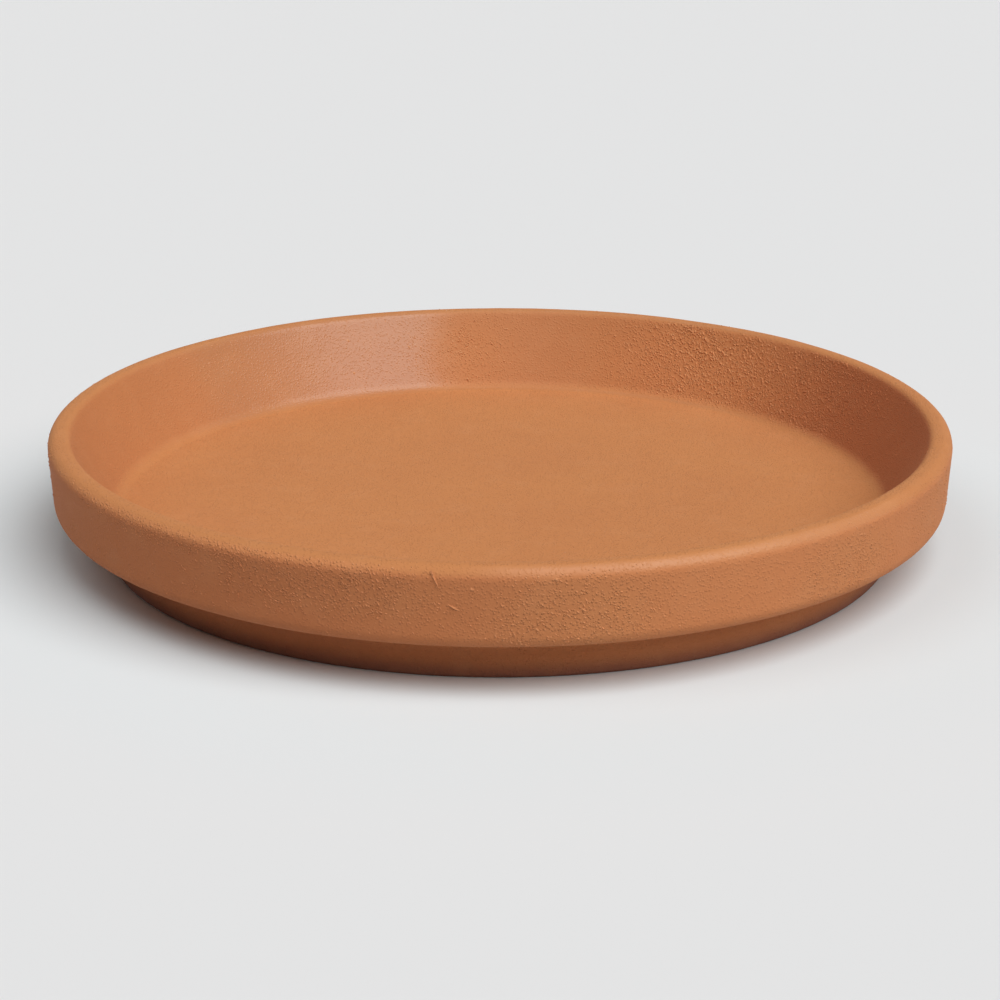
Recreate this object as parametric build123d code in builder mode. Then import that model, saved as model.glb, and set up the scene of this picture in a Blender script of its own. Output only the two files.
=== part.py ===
from build123d import *
import os
from math import cos, radians, tan

# Plant saucer: one thick-walled piece of pressed and fired clay, round about its upright axis.
# Sizes are in millimetres and angles in degrees. Z points up, and the origin is on the ground
# under the saucer's middle.

# Overall size
rim_diameter = 300.0        # across the band's upper edge, the widest place
height = 40.5               # from the ground to the top of the lip

# Lip, the rounded top of the wall
lip_thickness = 7.25        # across the top, measured before its edges are rounded
lip_outer_share = 0.54      # radius of the outer edge, as a share of the lip's thickness
lip_inner_share = 0.41      # radius of the inner edge, likewise

# Band, the broad collar around the outside
band_lean = 3.2             # the band's face leans outward by this much as it rises
band_edge_height = 16.4     # from the ground to the band's lower edge, before it is rounded
band_edge_rounding = 4.6

# Foot, the narrower drum below the band
foot_height = 11.1          # from the ground to the notch under the band
foot_inset = 18.0           # from the widest place of the rim in to the foot
foot_draft = 5.0            # the foot's wall leans outward by this much as it rises

# Underside
ring_width = 16.0           # flat ring that the saucer stands on
recess_depth = 4.0          # shallow hollow inside that ring
recess_draft = 35.0         # slope of the hollow's side, from upright

# Inside
floor_thickness = 8.5       # clay between the hollow underneath and the floor
floor_inset = 3.0           # from the foot's outer edge in to the foot of the inner wall
floor_rounding = 6.0        # hollow corner between the floor and the inner wall


def run(rise, angle):
    """How far a side that leans by an angle moves outward over a rise."""
    return rise * tan(radians(angle))


# Radii and heights that follow from the sizes above. The lip's corner stands out past the widest
# place by what its rounding takes away.
rim_radius = rim_diameter / 2
lip_outer_rounding = lip_outer_share * lip_thickness
lip_inner_rounding = lip_inner_share * lip_thickness
lip_corner_loss = run(lip_outer_rounding, band_lean) + lip_outer_rounding * (1 / cos(radians(band_lean)) - 1)
lip_corner_radius = rim_radius + lip_corner_loss
band_edge_radius = lip_corner_radius - run(height - band_edge_height, band_lean)
foot_radius = rim_radius - foot_inset
neck_radius = foot_radius + run(foot_height, foot_draft)
ring_inner_radius = foot_radius - ring_width
recess_radius = ring_inner_radius - run(recess_depth, recess_draft)
floor_height = recess_depth + floor_thickness
floor_radius = foot_radius - floor_inset

# The saucer's half section, as corners and the rounding that each one gets. It starts on the
# axis under the floor, goes out along the underside, up the outside, over the lip and back
# down the inner wall to the axis.
section_corners = [
    ((0, recess_depth), 0),
    ((recess_radius, recess_depth), 0),
    ((ring_inner_radius, 0), 0),
    ((foot_radius, 0), 0),
    ((neck_radius, foot_height), 0),
    ((band_edge_radius, band_edge_height), band_edge_rounding),
    ((lip_corner_radius, height), lip_outer_rounding),
    ((lip_corner_radius - lip_thickness, height), lip_inner_rounding),
    ((floor_radius, floor_height), floor_rounding),
    ((0, floor_height), 0),
]

# The saucer
with BuildPart() as saucer:
    with BuildSketch(Plane.XZ):
        with BuildLine():
            FilletPolyline(
                [corner for corner, rounding in section_corners],
                radius=[rounding for corner, rounding in section_corners],
                close=True,
            )
        make_face()
    revolve(axis=Axis.Z)
saucer.part.label = "saucer"

os.makedirs("parts", exist_ok=True)
export_step(saucer.part, "parts/saucer.step")
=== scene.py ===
import itertools
import math

import bpy
import numpy as np
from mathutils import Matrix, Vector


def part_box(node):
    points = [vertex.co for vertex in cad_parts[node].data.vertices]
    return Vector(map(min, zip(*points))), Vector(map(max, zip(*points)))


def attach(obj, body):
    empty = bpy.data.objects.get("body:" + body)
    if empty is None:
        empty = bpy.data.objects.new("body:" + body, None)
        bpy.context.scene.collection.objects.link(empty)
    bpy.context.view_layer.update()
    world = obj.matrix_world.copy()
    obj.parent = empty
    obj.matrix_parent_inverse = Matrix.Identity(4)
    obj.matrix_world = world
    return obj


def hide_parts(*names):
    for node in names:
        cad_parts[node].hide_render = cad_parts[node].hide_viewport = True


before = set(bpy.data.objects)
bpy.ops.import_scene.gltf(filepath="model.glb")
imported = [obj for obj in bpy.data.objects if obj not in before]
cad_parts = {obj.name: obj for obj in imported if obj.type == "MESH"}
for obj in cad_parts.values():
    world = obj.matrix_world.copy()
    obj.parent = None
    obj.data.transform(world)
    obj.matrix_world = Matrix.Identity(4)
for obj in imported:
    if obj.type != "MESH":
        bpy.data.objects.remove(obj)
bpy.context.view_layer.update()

# Terracotta plant saucer on a plain pale floor. Lengths are in metres unless a name says mm,
# and angles in degrees. An azimuth is measured from the far side, towards the right.

MM = 0.001
SEED = 11

# The saucer's section, in the solid's own sizes
low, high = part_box("saucer")
RIM_RADIUS = (high.x - low.x) / 2
HEIGHT = high.z
LIP_THICKNESS = 7.25 * MM
LIP_OUTER_ROUNDING = 3.9 * MM
LIP_INNER_ROUNDING = 3.0 * MM
BAND_LEAN = 3.2
BAND_EDGE_HEIGHT = 16.4 * MM
BAND_EDGE_ROUNDING = 4.6 * MM
FOOT_HEIGHT = 11.1 * MM
FOOT_RADIUS = RIM_RADIUS - 18.0 * MM
FOOT_DRAFT = 5.0
RING_WIDTH = 16.0 * MM
RECESS_DEPTH = 4.0 * MM
RECESS_DRAFT = 35.0
FLOOR_HEIGHT = 12.5 * MM
FLOOR_RADIUS = FOOT_RADIUS - 3.0 * MM
FLOOR_ROUNDING = 6.0 * MM

# Worn edges that the solid leaves sharp
FOOT_EDGE_ROUNDING = 1.2 * MM
NOTCH_ROUNDING = 3.0 * MM
RECESS_ROUNDING = 2.0 * MM

# How closely the surface is divided
FINE_COUNT = 512               # points around the largest rings
FINE_STEP = 0.6 * MM           # along the section, in its roundings
PLAIN_STEP = 1.2 * MM
COARSE_STEP = 3.0 * MM         # on the floor and underneath
SMALLEST_COUNT = 16            # points around the ring next to the axis
AROUND_SLACK = 1.3             # rings get more points while their steps are this much too long


def run(rise, angle):
    """How far a side that leans by an angle moves outward over a rise."""
    return rise * math.tan(math.radians(angle))


def section_corners():
    """Corners of the half section, from the axis underneath round the outside to the axis on top.
    Each has its radius, height, rounding, and the step along the stretch that leads to it."""
    lip_corner = RIM_RADIUS + run(LIP_OUTER_ROUNDING, BAND_LEAN)
    band_edge = lip_corner - run(HEIGHT - BAND_EDGE_HEIGHT, BAND_LEAN)
    neck = FOOT_RADIUS + run(FOOT_HEIGHT, FOOT_DRAFT)
    ring_inner = FOOT_RADIUS - RING_WIDTH
    recess = ring_inner - run(RECESS_DEPTH, RECESS_DRAFT)
    return [
        (0.0, RECESS_DEPTH, 0.0, COARSE_STEP),
        (recess, RECESS_DEPTH, RECESS_ROUNDING, COARSE_STEP),
        (ring_inner, 0.0, RECESS_ROUNDING, PLAIN_STEP),
        (FOOT_RADIUS, 0.0, FOOT_EDGE_ROUNDING, COARSE_STEP),
        (neck, FOOT_HEIGHT, NOTCH_ROUNDING, PLAIN_STEP),
        (band_edge, BAND_EDGE_HEIGHT, BAND_EDGE_ROUNDING, PLAIN_STEP),
        (lip_corner, HEIGHT, LIP_OUTER_ROUNDING, PLAIN_STEP),
        (lip_corner - LIP_THICKNESS, HEIGHT, LIP_INNER_ROUNDING, PLAIN_STEP),
        (FLOOR_RADIUS, FLOOR_HEIGHT, FLOOR_ROUNDING, PLAIN_STEP),
        (0.0, FLOOR_HEIGHT, 0.0, COARSE_STEP),
    ]


def rounded_corner(before, corner, after, rounding, step):
    """Points of the arc that rounds a corner, from one tangent point to the other."""
    back = (before - corner) / np.linalg.norm(before - corner)
    ahead = (after - corner) / np.linalg.norm(after - corner)
    half = math.acos(np.clip(back @ ahead, -1, 1)) / 2
    middle = corner + (back + ahead) / np.linalg.norm(back + ahead) * rounding / math.sin(half)
    start = corner + back * rounding / math.tan(half) - middle
    end = corner + ahead * rounding / math.tan(half) - middle
    turn = math.pi - 2 * half
    share = np.linspace(0, 1, max(4, math.ceil(turn * rounding / step)) + 1)[:, None]
    swing = np.sin((1 - share) * turn) * start + np.sin(share * turn) * end
    return middle + swing / math.sin(turn)


def section_points():
    """Points along the half section, as rows of radius and height."""
    corners = section_corners()
    places = [np.array(c[:2]) for c in corners]
    points = [places[0][None]]
    for i in range(1, len(corners)):
        rounding, step = corners[i][2:]
        arc = places[i][None]
        if rounding:
            before, after = places[i - 1], places[i + 1]
            arc = rounded_corner(before, places[i], after, rounding, min(step, FINE_STEP))
        last = points[-1][-1]
        pieces = max(1, math.ceil(np.linalg.norm(arc[0] - last) / step))
        share = np.linspace(0, 1, pieces + 1)[1:-1, None]
        points += [last + (arc[0] - last) * share, arc]
    return np.vstack(points)


def section_outward(section):
    """Outward directions at the points of the half section."""
    along = np.gradient(section, axis=0)
    along /= np.linalg.norm(along, axis=1)[:, None]
    return np.stack([along[:, 1], -along[:, 0]], 1)


def ring_counts(points):
    """How many points go around at each place of the section. Neighbours differ by a factor of two
    at most."""
    radius, height = points.T
    wanted = np.where(height > FLOOR_HEIGHT + FINE_STEP, PLAIN_STEP, COARSE_STEP)
    counts = np.full(len(points), SMALLEST_COUNT)
    while True:
        sparse = (2 * math.pi * radius / counts > wanted * AROUND_SLACK) & (counts < FINE_COUNT)
        if not sparse.any():
            break
        counts = np.where(sparse, counts * 2, counts)
    for order in (range(1, len(counts)), range(len(counts) - 2, -1, -1)):
        for i in order:
            neighbour = counts[i - 1] if order.step > 0 else counts[i + 1]
            counts[i] = max(counts[i], neighbour // 2)
    return counts


def stitch(first, first_count, second, second_count):
    """Faces between two rings, given the number of each ring's first point."""
    if first_count == second_count:
        here = np.arange(first_count)
        after = (here + 1) % first_count
        return [np.stack([first + here, second + here, second + after, first + after], 1)]
    coarse_count = min(first_count, second_count)
    here = np.arange(coarse_count)
    after = (here + 1) % coarse_count
    left, middle, right = 2 * here, 2 * here + 1, (2 * here + 2) % (2 * coarse_count)
    if first_count < second_count:
        return [
            np.stack([first + here, second + left, second + middle], 1),
            np.stack([first + here, second + middle, first + after], 1),
            np.stack([first + after, second + middle, second + right], 1),
        ]
    return [
        np.stack([first + left, second + here, first + middle], 1),
        np.stack([first + middle, second + here, second + after], 1),
        np.stack([first + middle, second + after, first + right], 1),
    ]


def turned(azimuth, section, outward):
    """Points and outward directions of the section, each turned to an azimuth in radians."""
    around = np.stack([np.sin(azimuth), np.cos(azimuth)], 1)
    points = np.column_stack([around * section[:, :1], section[:, 1]])
    normals = np.column_stack([around * outward[:, :1], outward[:, 1]])
    return points, normals


def saucer_surface():
    """The saucer's smooth surface: points, outward directions and faces."""
    section = section_points()
    outward = section_outward(section)
    inner = slice(1, len(section) - 1)
    counts = ring_counts(section[inner])
    starts = 1 + np.concatenate([[0], np.cumsum(counts)[:-1]])
    rings = np.repeat(np.arange(len(counts)), counts)
    azimuth = np.concatenate([2 * math.pi * np.arange(n) / n for n in counts])
    points, normals = turned(azimuth, section[inner][rings], outward[inner][rings])
    points = np.vstack([[0, 0, section[0, 1]], points, [0, 0, section[-1, 1]]])
    normals = np.vstack([[0, 0, -1], normals, [0, 0, 1]])
    faces = []
    for i in range(len(counts) - 1):
        faces += stitch(starts[i], counts[i], starts[i + 1], counts[i + 1])
    here = np.arange(SMALLEST_COUNT)
    after = (here + 1) % SMALLEST_COUNT
    top = len(points) - 1
    faces.append(np.stack([0 * here, starts[0] + here, starts[0] + after], 1))
    faces.append(np.stack([starts[-1] + here, 0 * here + top, starts[-1] + after], 1))
    return points, normals, faces


def mesh_from(name, points, faces, smooth_faces):
    """A mesh from numpy points and lists of face corners. Its first faces are shaded smoothly."""
    mesh = bpy.data.meshes.new(name)
    corners = np.concatenate([f.ravel() for f in faces]).astype(np.int32)
    sides = np.concatenate([np.full(len(f), f.shape[1]) for f in faces])
    starts = np.concatenate([[0], np.cumsum(sides)[:-1]]).astype(np.int32)
    mesh.vertices.add(len(points))
    mesh.vertices.foreach_set("co", points.astype(np.float32).ravel())
    mesh.loops.add(len(corners))
    mesh.loops.foreach_set("vertex_index", corners)
    mesh.polygons.add(len(sides))
    mesh.polygons.foreach_set("loop_start", starts)
    mesh.polygons.foreach_set("use_smooth", np.arange(len(sides)) < smooth_faces)
    mesh.update(calc_edges=True)
    mesh.validate()
    return mesh


# Unevenness of the clay: length and height of its waves
SLOW_WAVE = 40 * MM
SLOW_HEIGHT = 0.25 * MM
DENT_WAVE = 7 * MM
DENT_HEIGHT = 0.08 * MM
UNEVEN_FROM = 6 * MM           # height from which they are full; on the ground there are none

# Grit: crumbs of clay that stick to the band, the lip and the inside
GRIT_SLOPE = (0.92, 0.65)          # upward part of the direction at which grit starts and is full
FLOOR_SHARE = 0.15                 # places tried on the floor, for each one on as much wall
CRUMB_TRIES = 150000               # random places that are tried
CRUMB_CHANCE = (0.1, 1)            # thickness of the grit at which no place and every place holds
CRUMB_SPACING = 0.8 * MM           # side of the cells that hold one crumb at most
CRUMB_RADIUS = (0.25 * MM, 0.85 * MM)
CRUMB_RARITY = 1.5                 # above 1, large crumbs are rarer than small ones
CRUMB_STEEPNESS = (0.3, 0.65)      # a crumb's height, as a share of its radius
CRUMB_SEAT = 0.3                   # how deep its edge sits in the clay, as a share of its height
CRUMB_STRETCH = (1.2, 2.8)         # a crumb's length over its width
CRUMB_LEAN = (-42, 25)             # lean of its length down to the right, and how much that varies
CRUMB_RAGGEDNESS = 0.25            # how much its corners vary from an even outline
CRUMB_SIDES = 5
STREAK_LENGTH = 5 * MM             # crumbs lie in streaks that run down to the right
STREAK_WIDTH = 2.2 * MM
CLUSTER_SIZE = 8 * MM
CLUSTER_STRENGTH = 0.6             # 0 spreads the crumbs evenly over their patch

# Patches of grit: on the inside or not, azimuth and its half width, height and its half height,
# thickness from 0 to 1, and size of the crumbs from 0 to 1
GRIT_PATCHES = [
    (True, 34, 17, 26 * MM, 15 * MM, 0.9, 0.9),
    (True, 58, 15, 27 * MM, 14 * MM, 0.9, 0.6),
    (True, -6, 8, 24 * MM, 12 * MM, 0.45, 0.6),
    (True, -46, 18, 25 * MM, 13 * MM, 0.25, 0.2),
    (False, 172, 9, 26 * MM, 14 * MM, 0.9, 0.8),
    (False, 200, 14, 32 * MM, 9 * MM, 0.9, 0.4),
    (False, 222, 24, 38.5 * MM, 4 * MM, 0.8, 0.1),
    (False, 136, 8, 25 * MM, 11 * MM, 0.8, 0.7),
    (False, 115, 8, 29 * MM, 9 * MM, 0.5, 0.4),
    (False, 62, 18, 28 * MM, 12 * MM, 0.8, 0.7),
    (False, -20, 22, 30 * MM, 11 * MM, 0.8, 0.6),
    (False, -75, 14, 24 * MM, 10 * MM, 0.7, 0.5),
]

# Larger crumbs, placed one by one: on the inside or not, azimuth, height, half length, half width,
# and lean of the length down to the right. The first two on the outside are scraped ridges.
LARGE_CRUMBS = [
    (True, -25, 33 * MM, 1.1 * MM, 0.8 * MM, -40),
    (True, -25, 21.5 * MM, 1.0 * MM, 0.8 * MM, -30),
    (True, -15, 28 * MM, 1.2 * MM, 0.6 * MM, -45),
    (True, -5.5, 16 * MM, 1.2 * MM, 0.7 * MM, -60),
    (True, 21.5, 28.5 * MM, 1.2 * MM, 0.6 * MM, -45),
    (True, 31.5, 17 * MM, 1.3 * MM, 0.8 * MM, -50),
    (True, 32, 24.5 * MM, 1.4 * MM, 0.6 * MM, -45),
    (True, 34, 36 * MM, 1.7 * MM, 0.7 * MM, -50),
    (True, 38, 32 * MM, 1.2 * MM, 0.9 * MM, -30),
    (True, 38, 20.5 * MM, 1.3 * MM, 0.6 * MM, -45),
    (False, 187, 37 * MM, 2.9 * MM, 0.5 * MM, -65),
    (False, 185, 28.5 * MM, 2.9 * MM, 0.45 * MM, -28),
    (False, 183, 34 * MM, 1.1 * MM, 0.8 * MM, -40),
    (False, 176, 21.5 * MM, 1.2 * MM, 0.6 * MM, -45),
    (False, 174, 37 * MM, 1.1 * MM, 0.8 * MM, -40),
    (False, 171, 27.5 * MM, 1.3 * MM, 0.6 * MM, -35),
    (False, 160, 20 * MM, 1.1 * MM, 0.7 * MM, -40),
]

# Grit between the patches: its thickness and the size of its crumbs, both from 0 to 1
GRIT_BACKGROUND = 0.12
BACKGROUND_SIZE = 0.3

# Fine grain of the clay, from 0 to 1: on steep faces without grit, in thick grit, and on flat faces
PLAIN_GRAIN = 0.38
GRIT_GRAIN = 0.72
FLAT_GRAIN = 0.6

# Burnished and wiped places, which have a soft sheen, and places painted redder and darker as shade,
# where the lamps barely reach: azimuth, half width, how softly they end, as a share of the half
# width, and strength from 0 to 1
BURNISHED_WALL = (-32, 22, 0.25, 0.65)
WIPED_WALL = (-28, 45, 0.25, 0.35)
WIPED_CORNER = (-5, 50, 0.25, 0.7)
BURNISHED_LIP = (154, 28, 0.25, 0.68)
PAINTED_SHADE_WALL = (82, 28, 0.6, 0.8)
PAINTED_SHADE_BAND = (230, 42, 0.5, 0.5)
GRIT_DULLING = 0.4             # how much of the sheen thick grit takes away
POLISH_SMOOTHING = 0.55        # how much of the grain full sheen takes away
CRUMB_PALENESS_AND_HIGHLIGHT = 0.35          # of crumbs without sheen, partly painted light; in full sheen it is 1, a painted highlight
PAINTED_CONTACT_SHADE_HEIGHT = 0.65 * FOOT_HEIGHT     # where the painted contact shade along the ground has faded

random = np.random.default_rng(SEED)


def lattice_noise(points, cell):
    """Smooth noise from 0 to 1: random values on a lattice, blended between its nodes."""
    nodes_per_side = 32
    lattice = random.random((nodes_per_side,) * 3)
    base = np.floor(points / cell).astype(int)
    part = points / cell - base
    blend = part * part * (3 - 2 * part)
    total = np.zeros(len(points))
    for corner in itertools.product((0, 1), repeat=3):
        weight = np.prod(np.where(corner, blend, 1 - blend), axis=1)
        total += weight * lattice[tuple(((base + corner) % nodes_per_side).T)]
    return total


def smooth_step(start, end, value):
    """0 up to the start and 1 from the end on, eased between them."""
    share = np.clip((value - start) / (end - start), 0, 1)
    return share * share * (3 - 2 * share)


def unevenness(points):
    """How far each point stands out from the smooth surface."""
    slow = SLOW_HEIGHT * (lattice_noise(points, SLOW_WAVE) - 0.5)
    dents = DENT_HEIGHT * (lattice_noise(points, DENT_WAVE) - 0.5)
    return smooth_step(0, UNEVEN_FROM, points[:, 2]) * (slow + dents)


def outwardness(points, normals):
    """How much each direction points away from the axis, from -1 to 1."""
    radius = np.maximum(np.linalg.norm(points[:, :2], axis=1), MM)
    return (normals[:, :2] * points[:, :2]).sum(1) / radius


def turn_from(points, azimuth):
    """Degrees from an azimuth to each point, from -180 to 180."""
    return (np.degrees(np.arctan2(points[:, 0], points[:, 1])) - azimuth + 180) % 360 - 180


def near(points, azimuth, half_width, softness, strength):
    """A strength near an azimuth, eased to 0 around a half width from it."""
    away = abs(turn_from(points, azimuth)) / half_width
    return strength * smooth_step(1 + softness, 1 - softness, away)


def streak_places(points, inside):
    """Points twisted about the axis, so that a line down to the right becomes upright, and then
    shortened."""
    twist = np.where(inside, -1, 1) * (HEIGHT - points[:, 2]) / RIM_RADIUS
    azimuth = np.arctan2(points[:, 0], points[:, 1]) + twist
    radius = np.linalg.norm(points[:, :2], axis=1)
    upright = points[:, 2] * STREAK_WIDTH / STREAK_LENGTH
    return np.column_stack([radius * np.sin(azimuth), radius * np.cos(azimuth), upright])


def grit_at(points, normals):
    """How thick the grit lies at each point and how large its crumbs are, both from 0 to 1."""
    inside = outwardness(points, normals) < 0
    steep = smooth_step(*GRIT_SLOPE, normals[:, 2])
    thickness = GRIT_BACKGROUND * np.where(points[:, 2] > FLOOR_HEIGHT + FLOOR_ROUNDING, steep, 1)
    size = BACKGROUND_SIZE * thickness
    for on_inside, azimuth, half_width, height, half_height, amount, crumb_size in GRIT_PATCHES:
        across = turn_from(points, azimuth) / half_width
        upward = (points[:, 2] - height) / half_height
        share = np.exp(-(across ** 2 + upward ** 2) ** 2) * steep * (inside == on_inside)
        thickness += amount * share
        size += amount * crumb_size * share
    return np.minimum(thickness, 1), size / np.maximum(thickness, GRIT_BACKGROUND)


def scattered(tries):
    """Random places on the band, the lip and the inside, with their outward directions."""
    section = section_points()
    first = np.argmax(section[:, 1] > BAND_EDGE_HEIGHT)
    section, outward = section[first:], section_outward(section)[first:]
    steps = np.linalg.norm(np.diff(section, axis=0), axis=1)
    travel = np.concatenate([[0], np.cumsum(steps)])
    place = random.uniform(0, travel[-1], tries)
    columns = np.hstack([section, outward]).T
    rows = np.column_stack([np.interp(place, travel, column) for column in columns])
    share = np.where(rows[:, 0] < FLOOR_RADIUS, FLOOR_SHARE, 1) * rows[:, 0] / RIM_RADIUS
    rows = rows[random.random(tries) < share]
    return turned(random.uniform(0, 2 * math.pi, len(rows)), rows[:, :2], rows[:, 2:])


def scattered_crumbs():
    """Where the grit's crumbs lie: middles, outward directions, half lengths, half widths and
    leans."""
    middles, normals = scattered(CRUMB_TRIES)
    thickness, size = grit_at(middles, normals)
    inside = outwardness(middles, normals) < 0
    streaks = lattice_noise(streak_places(middles, inside), STREAK_WIDTH)
    clusters = lattice_noise(middles, CLUSTER_SIZE) + streaks - 1
    likely = smooth_step(*CRUMB_CHANCE, thickness + CLUSTER_STRENGTH * clusters)
    kept = np.flatnonzero(random.random(len(middles)) < likely)
    cells = np.floor(middles[kept] / CRUMB_SPACING).astype(int)
    kept = kept[np.unique(cells, axis=0, return_index=True)[1]]
    least, most = CRUMB_RADIUS
    radius = least + (most - least) * size[kept] * random.random(len(kept)) ** CRUMB_RARITY
    stretch = np.sqrt(random.uniform(*CRUMB_STRETCH, len(kept)))
    lean = random.normal(*CRUMB_LEAN, len(kept))
    return middles[kept], normals[kept], radius * stretch, radius / stretch, lean


def large_crumbs():
    """Where the larger crumbs lie, with the same values as for the scattered ones. Each takes the
    point of the section nearest its height. A point on the wrong side counts as a metre away."""
    section = section_points()
    outward = section_outward(section)
    inside, azimuth, height, half_length, half_width, lean = np.array(LARGE_CRUMBS).T
    past_lip = np.arange(len(section)) > np.argmax(section[:, 1])
    wrong_side = past_lip != inside[:, None]
    place = np.argmin(abs(section[:, 1] - height[:, None]) + wrong_side, axis=1)
    middles, normals = turned(np.radians(azimuth), section[place], outward[place])
    return middles, normals, half_length, half_width, lean


def crumbs():
    """All crumbs, as low and ragged pyramids: points, outward directions and faces."""
    both = zip(scattered_crumbs(), large_crumbs())
    middles, normals, half_length, half_width, lean = (np.concatenate(pair) for pair in both)
    count = len(middles)
    steepness = random.uniform(*CRUMB_STEEPNESS, count)
    top = np.minimum(steepness * np.sqrt(half_length * half_width), half_width)
    rightward = np.column_stack([middles[:, 1], -middles[:, 0], np.zeros(count)])
    rightward *= np.where(outwardness(middles, normals) < 0, 1, -1)[:, None]
    rightward /= np.linalg.norm(rightward, axis=1)[:, None]
    lean = np.radians(lean)[:, None]
    length = np.cos(lean) * rightward + np.sin(lean) * np.cross(normals, rightward)
    width = np.cross(normals, length)
    corners = []
    for side in range(CRUMB_SIDES):
        turn = 2 * math.pi * side / CRUMB_SIDES
        reach = random.uniform(1 - CRUMB_RAGGEDNESS, 1 + CRUMB_RAGGEDNESS, count)
        along = (reach * math.cos(turn) * half_length)[:, None] * length
        across = (reach * math.sin(turn) * half_width)[:, None] * width
        corners.append(middles + along + across - (CRUMB_SEAT * top)[:, None] * normals)
    corners.append(middles + top[:, None] * normals)
    first = np.arange(count)[:, None] * len(corners)
    here = np.arange(CRUMB_SIDES)
    slopes = np.stack([here, (here + 1) % CRUMB_SIDES, np.full(CRUMB_SIDES, CRUMB_SIDES)], 1)
    faces = [(first + slopes.ravel()).reshape(-1, 3), first + here[::-1]]
    return np.stack(corners, 1).reshape(-1, 3), np.repeat(normals, len(corners), axis=0), faces


def clay_values(points, normals):
    """Values from 0 to 1 that the clay's material reads at the points of the mesh. Limits written
    as numbers are of the upward or outward part of the surface's direction."""
    upward = normals[:, 2]
    outward = outwardness(points, normals)
    inward = smooth_step(0.05, 0.4, -outward)
    thickness = grit_at(points, normals)[0]
    wall = inward * smooth_step(0.95, 0.45, upward)
    band = (1 - inward) * smooth_step(0.6, 0.15, upward)
    lip_edge = smooth_step(0.1, 0.4, upward) * smooth_step(0.2, 0.5, outward)
    corner = inward * smooth_step(0.75, 0.9, upward) * smooth_step(0.995, 0.96, upward)
    wall_sheen = near(points, *BURNISHED_WALL) + near(points, *WIPED_WALL)
    polish = inward * smooth_step(0.94, 0.8, upward) * wall_sheen
    polish = np.maximum(polish, corner * near(points, *WIPED_CORNER))
    polish = np.maximum(polish, lip_edge * near(points, *BURNISHED_LIP))
    polish = polish * (1 - GRIT_DULLING * thickness)
    # painted shade: darker, redder clay where the inner wall and the band face away from the lamps
    painted_shade = wall * near(points, *PAINTED_SHADE_WALL) + band * near(points, *PAINTED_SHADE_BAND)
    grain = PLAIN_GRAIN + (GRIT_GRAIN - PLAIN_GRAIN) * thickness
    grain = grain * (1 - POLISH_SMOOTHING * polish)
    return {
        "wall": wall,
        "band": band,
        "grit": thickness,
        "grain": np.maximum(grain, FLAT_GRAIN * smooth_step(0.9, 0.99, upward)),
        "polish": polish,
        # painted shade: darker, less red clay under the sheen, where the inner wall faces the key
        # lamp
        "painted_shade_under_sheen": polish * inward,
        "painted_shade": painted_shade,
        # painted contact shade: the clay is darker towards the ground
        "painted_contact_shade": smooth_step(PAINTED_CONTACT_SHADE_HEIGHT, 0, points[:, 2]),
    }


# The saucer
points, normals, faces = saucer_surface()
smooth_faces = sum(len(corners) for corners in faces)
crumb_points, crumb_normals, crumb_faces = crumbs()
uneven_points = points + unevenness(points)[:, None] * normals
all_points = np.vstack([uneven_points, crumb_points])
all_normals = np.vstack([normals, crumb_normals])
all_faces = faces + [len(points) + corners for corners in crumb_faces]
saucer_mesh = mesh_from("saucer_clay", all_points, all_faces, smooth_faces)
clay = clay_values(all_points, all_normals)
on_crumb = np.repeat([0, 1], [len(points), len(crumb_points)])
# crumbs are paler, partly their own chalky colour and partly painted light; the extra paleness under
# sheen is a painted highlight
clay["pale_crumb_and_highlight"] = on_crumb * (CRUMB_PALENESS_AND_HIGHLIGHT + (1 - CRUMB_PALENESS_AND_HIGHLIGHT) * clay["polish"])
for name, values in clay.items():
    layer = saucer_mesh.attributes.new(name, "FLOAT", "POINT")
    layer.data.foreach_set("value", values.astype(np.float32))
saucer = bpy.data.objects.new("saucer_clay", saucer_mesh)
bpy.context.scene.collection.objects.link(saucer)
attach(saucer, "root")
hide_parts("saucer")

# Colours of the clay, linear
FLAT_CLAY = (0.545, 0.214, 0.07, 1)        # on the floor and the top of the lip
WALL_CLAY = (0.545, 0.207, 0.073, 1)
BAND_CLAY = (0.61, 0.221, 0.079, 1)
# paler where grit lies: painted light that offsets the shade of its crumbs and grain
GRIT_PAINTED_LIGHT_CLAY = (0.605, 0.23, 0.082, 1)
# painted shade under the inner wall's sheen, where the key lamp falls full
PAINTED_SHADE_UNDER_SHEEN_CLAY = (0.47, 0.186, 0.064, 1)
# painted shade, where the lamps barely reach
PAINTED_SHADE_CLAY = (0.43, 0.124, 0.042, 1)
PAINTED_CONTACT_SHADE_CLAY = (0.23, 0.085, 0.052, 1)      # painted contact shade, darker towards the ground
DEEP_CLAY = (0.4, 0.125, 0.045, 1)         # in pores and darker patches
PALE_CLAY = (0.66, 0.31, 0.14, 1)          # crumbs and chalky patches

# Mottling of the clay: size of each kind, levels of its noise between which it changes, and how
# strongly it tints. Patches and clouds lie where the noise is high, grain and pores where it is low.
PATCH_SIZE, PATCH_LEVELS, PATCH_TINT = 45 * MM, (0.35, 0.75), 0.12
CLOUD_SIZE, CLOUD_LEVELS, CLOUD_TINT = 9 * MM, (0.45, 0.75), 0.1
GRAIN_SIZE, GRAIN_LEVELS, GRAIN_TINT = 0.9 * MM, (0.25, 0.5), 0.14
PORE_SIZE, PORE_LEVELS, PORE_TINT = 2.2 * MM, (0.2, 0.28), 0.15

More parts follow.
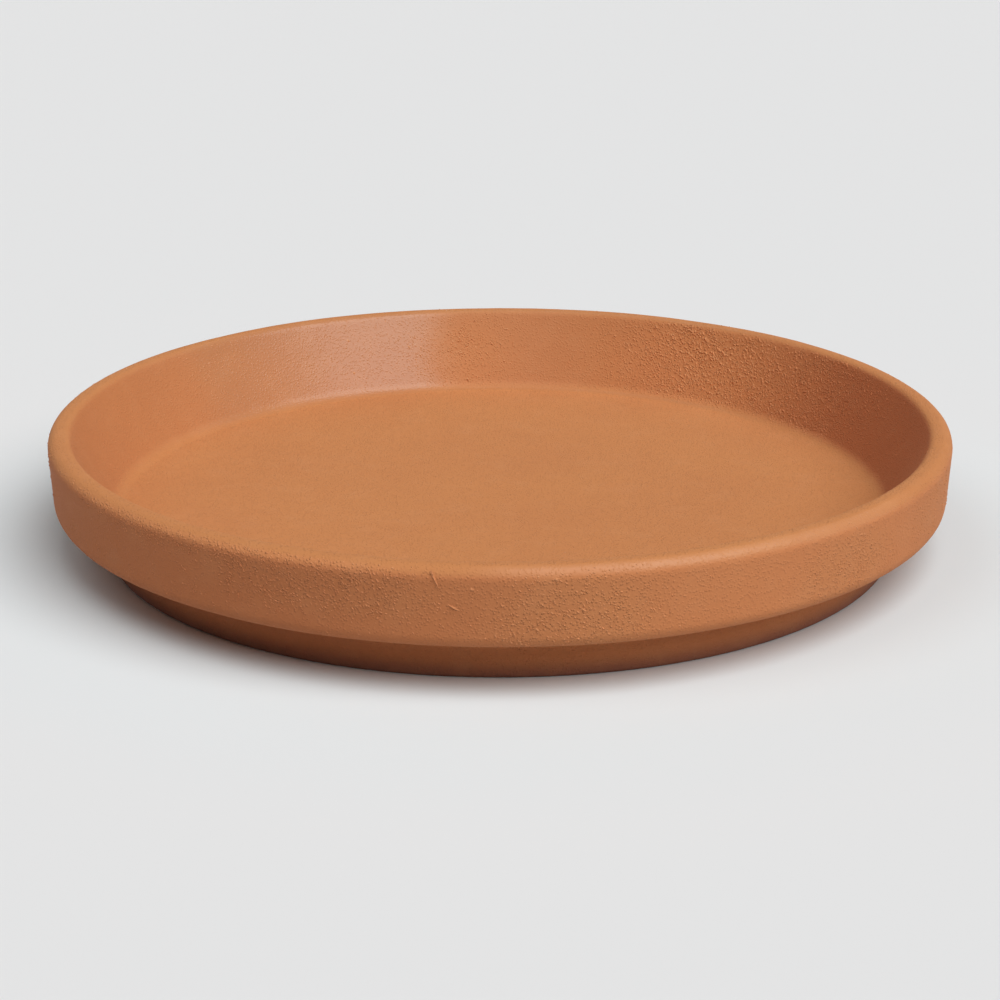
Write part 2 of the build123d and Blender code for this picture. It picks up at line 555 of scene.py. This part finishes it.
# Finish of the clay
SKIN_DEPTH = 0.2 * MM          # of the fine grain
SAND_DEPTH = 0.35 * MM         # of separate grains of sand in it
SAND_REACH = (0.1, 0.5)        # from a grain's middle to its top's edge and its foot, in grain sizes
MATTE_ROUGHNESS = 0.85
BURNISHED_ROUGHNESS = 0.28
SPECULAR_LEVEL = 0.44


def stored(tree, name):
    """A value that the mesh stores at its points."""
    value = tree.nodes.new("ShaderNodeAttribute")
    value.attribute_name = name
    return value.outputs["Fac"]


def noise(tree, size, detail):
    """Noise from 0 to 1 whose grains have about the given size."""
    texture = tree.nodes.new("ShaderNodeTexNoise")
    texture.inputs["Scale"].default_value = 1 / size
    texture.inputs["Detail"].default_value = detail
    place = tree.nodes.new("ShaderNodeTexCoord").outputs["Object"]
    tree.links.new(place, texture.inputs["Vector"])
    return texture.outputs["Fac"]


def grains(tree, size):
    """Distance from the middles of grains that lie about a size apart, as a share of that size."""
    texture = tree.nodes.new("ShaderNodeTexVoronoi")
    texture.inputs["Scale"].default_value = 1 / size
    place = tree.nodes.new("ShaderNodeTexCoord").outputs["Object"]
    tree.links.new(place, texture.inputs["Vector"])
    return texture.outputs["Distance"]


def spread(tree, value, low, high, to_low=0.0, to_high=1.0):
    """A value from one range, eased into another."""
    spreader = tree.nodes.new("ShaderNodeMapRange")
    spreader.interpolation_type = "SMOOTHSTEP"
    limits = {"From Min": low, "From Max": high, "To Min": to_low, "To Max": to_high}
    for name, limit in limits.items():
        spreader.inputs[name].default_value = limit
    tree.links.new(value, spreader.inputs["Value"])
    return spreader.outputs["Result"]


def put(tree, colour, socket):
    """A plain colour is set on a socket, and any other one is linked to it."""
    if isinstance(colour, tuple):
        socket.default_value = colour
    else:
        tree.links.new(colour, socket)


def tint(tree, colour, factor, other):
    """A colour mixed towards another one, by a factor from 0 to 1."""
    mixer = tree.nodes.new("ShaderNodeMix")
    mixer.data_type = "RGBA"
    tree.links.new(factor, mixer.inputs["Factor"])
    put(tree, colour, mixer.inputs["A"])
    put(tree, other, mixer.inputs["B"])
    return mixer.outputs["Result"]


def bump(tree, height, depth, strength, below=None):
    """Bumps of a given depth, over any that lie below."""
    bumper = tree.nodes.new("ShaderNodeBump")
    bumper.inputs["Distance"].default_value = depth
    tree.links.new(height, bumper.inputs["Height"])
    tree.links.new(strength, bumper.inputs["Strength"])
    if below:
        tree.links.new(below, bumper.inputs["Normal"])
    return bumper.outputs["Normal"]


# Terracotta
def terracotta():
    """Matte terracotta: mottled, a little chalky, rough where grit lies, smooth where polished. Its
    colour also holds painted shade and painted highlight.
    """
    material = bpy.data.materials.new("terracotta")
    material.use_nodes = True
    tree = material.node_tree
    shader = tree.nodes["Principled BSDF"]
    patches = noise(tree, PATCH_SIZE, detail=3)
    clouds = noise(tree, CLOUD_SIZE, detail=3)
    pores = noise(tree, PORE_SIZE, detail=1)
    grain = noise(tree, GRAIN_SIZE, detail=2)
    colour = tint(tree, FLAT_CLAY, stored(tree, "wall"), WALL_CLAY)
    colour = tint(tree, colour, stored(tree, "band"), BAND_CLAY)
    # painted light where grit lies, offsetting the shade of its crumbs and grain
    colour = tint(tree, colour, stored(tree, "grit"), GRIT_PAINTED_LIGHT_CLAY)
    # painted shade under the sheen of the inner wall
    colour = tint(tree, colour, stored(tree, "painted_shade_under_sheen"), PAINTED_SHADE_UNDER_SHEEN_CLAY)
    # paler crumbs, partly painted light, with a painted highlight under sheen
    colour = tint(tree, colour, stored(tree, "pale_crumb_and_highlight"), PALE_CLAY)
    # painted shade on the sides that the lamps barely reach
    colour = tint(tree, colour, stored(tree, "painted_shade"), PAINTED_SHADE_CLAY)
    # painted contact shade along the ground
    colour = tint(tree, colour, stored(tree, "painted_contact_shade"), PAINTED_CONTACT_SHADE_CLAY)
    colour = tint(tree, colour, spread(tree, patches, *PATCH_LEVELS, 0, PATCH_TINT), DEEP_CLAY)
    colour = tint(tree, colour, spread(tree, clouds, *CLOUD_LEVELS, 0, CLOUD_TINT), PALE_CLAY)
    colour = tint(tree, colour, spread(tree, grain, *GRAIN_LEVELS, GRAIN_TINT, 0), DEEP_CLAY)
    colour = tint(tree, colour, spread(tree, pores, *PORE_LEVELS, PORE_TINT, 0), DEEP_CLAY)
    tree.links.new(colour, shader.inputs["Base Color"])
    polish = stored(tree, "polish")
    roughness = spread(tree, polish, 0, 1, MATTE_ROUGHNESS, BURNISHED_ROUGHNESS)
    tree.links.new(roughness, shader.inputs["Roughness"])
    skin = bump(tree, grain, SKIN_DEPTH, stored(tree, "grain"))
    sand = spread(tree, grains(tree, GRAIN_SIZE), *SAND_REACH, 1, 0)
    rough = bump(tree, sand, SAND_DEPTH, stored(tree, "grain"), skin)
    tree.links.new(rough, shader.inputs["Normal"])
    shader.inputs["Specular IOR Level"].default_value = SPECULAR_LEVEL
    return material


saucer_mesh.materials.append(terracotta())

# Floor and backdrop
FLOOR_HALF_SIDE = 6.0
PALE = (0.806, 0.809, 0.811, 1)           # as the camera sees the floor and the backdrop
COOL_PALE = (0.757, 0.808, 0.823, 1)      # next to the saucer, which throws warm light there
COOL_REACH = (0.85 * RIM_RADIUS, 1.6 * RIM_RADIUS)     # where that starts to fade and ends
FLOOR_BOUNCE = (0.58, 0.58, 0.58, 1)      # as light that bounces off the floor sees it


def seen_directly(tree):
    """A socket that is 1 on rays from the camera, straight or mirrored, and 0 on bounced light."""
    path = tree.nodes.new("ShaderNodeLightPath")
    straight_or_mirrored = tree.nodes.new("ShaderNodeMath")
    straight_or_mirrored.operation = "MAXIMUM"
    tree.links.new(path.outputs["Is Camera Ray"], straight_or_mirrored.inputs[0])
    tree.links.new(path.outputs["Is Glossy Ray"], straight_or_mirrored.inputs[1])
    or_through_glass = tree.nodes.new("ShaderNodeMath")
    or_through_glass.operation = "MAXIMUM"
    tree.links.new(straight_or_mirrored.outputs[0], or_through_glass.inputs[0])
    tree.links.new(path.outputs["Is Transmission Ray"], or_through_glass.inputs[1])
    return or_through_glass.outputs[0]


def cool_near_saucer(tree):
    """The pale colour, cooler next to the saucer."""
    distance = tree.nodes.new("ShaderNodeVectorMath")
    distance.operation = "LENGTH"
    place = tree.nodes.new("ShaderNodeTexCoord").outputs["Object"]
    tree.links.new(place, distance.inputs[0])
    near_saucer = spread(tree, distance.outputs["Value"], *COOL_REACH, 1, 0)
    return tint(tree, PALE, near_saucer, COOL_PALE)


def floor():
    """A matte floor on the ground."""
    side = FLOOR_HALF_SIDE
    corners = [(-side, -side, 0), (side, -side, 0), (side, side, 0), (-side, side, 0)]
    mesh = bpy.data.meshes.new("floor")
    mesh.from_pydata(corners, [], [(0, 1, 2, 3)])
    plane = bpy.data.objects.new("floor", mesh)
    material = bpy.data.materials.new("floor")
    material.use_nodes = True
    tree = material.node_tree
    shader = tree.nodes["Principled BSDF"]
    colour = tint(tree, FLOOR_BOUNCE, seen_directly(tree), cool_near_saucer(tree))
    tree.links.new(colour, shader.inputs["Base Color"])
    shader.inputs["Roughness"].default_value = 1.0
    shader.inputs["Specular IOR Level"].default_value = 0.0
    mesh.materials.append(material)
    bpy.context.scene.collection.objects.link(plane)
    return plane


floor()

# Camera, from the photograph's outlines
CAMERA_DISTANCE = 5.173 * RIM_RADIUS
CAMERA_HEIGHT = 1.81 * RIM_RADIUS
CAMERA_PITCH = 18.62
FOCAL_PIXELS = 2407.0
FRAME_PIXELS = 1000
SENSOR_MM = 36.0

camera_data = bpy.data.cameras.new("camera")
camera_data.sensor_width = SENSOR_MM
camera_data.lens = SENSOR_MM * FOCAL_PIXELS / FRAME_PIXELS
camera = bpy.data.objects.new("camera", camera_data)
camera.location = (0, -CAMERA_DISTANCE, CAMERA_HEIGHT)
camera.rotation_euler = (math.radians(90 - CAMERA_PITCH), 0, 0)
bpy.context.scene.collection.objects.link(camera)
bpy.context.scene.camera = camera

# Light: a large soft lamp from the front right, weak ones from the other sides, and an even glow.
# Each lamp has its azimuth, elevation, width in degrees, and strength. A strength of 1 shows a
# surface that faces the lamp in its own colour.
LAMPS = [
    ("key", 137, 54, 58, 0.94),
    ("left_fill", 250, 58, 40, 0.16),
    ("right_fill", 98, 18, 28, 0.03),
    ("back_fill", 315, 38, 50, 0.05),
]
GLOW = (0.02, 0.02, 0.02, 1)


def lamp(name, azimuth, elevation, width, strength):
    """A distant lamp, at an azimuth and elevation, that looks as wide as an angle."""
    data = bpy.data.lights.new(name, "SUN")
    data.energy = math.pi * strength
    data.angle = math.radians(width)
    sun = bpy.data.objects.new(name, data)
    sun.rotation_euler = (math.radians(90 - elevation), 0, math.radians(180 - azimuth))
    bpy.context.scene.collection.objects.link(sun)


for settings in LAMPS:
    lamp(*settings)
world = bpy.data.worlds.new("studio")
world.use_nodes = True
backdrop = world.node_tree.nodes["Background"].inputs["Color"]
glow = tint(world.node_tree, GLOW, seen_directly(world.node_tree), PALE)
world.node_tree.links.new(glow, backdrop)
bpy.context.scene.world = world
bpy.context.scene.view_settings.view_transform = "Standard"
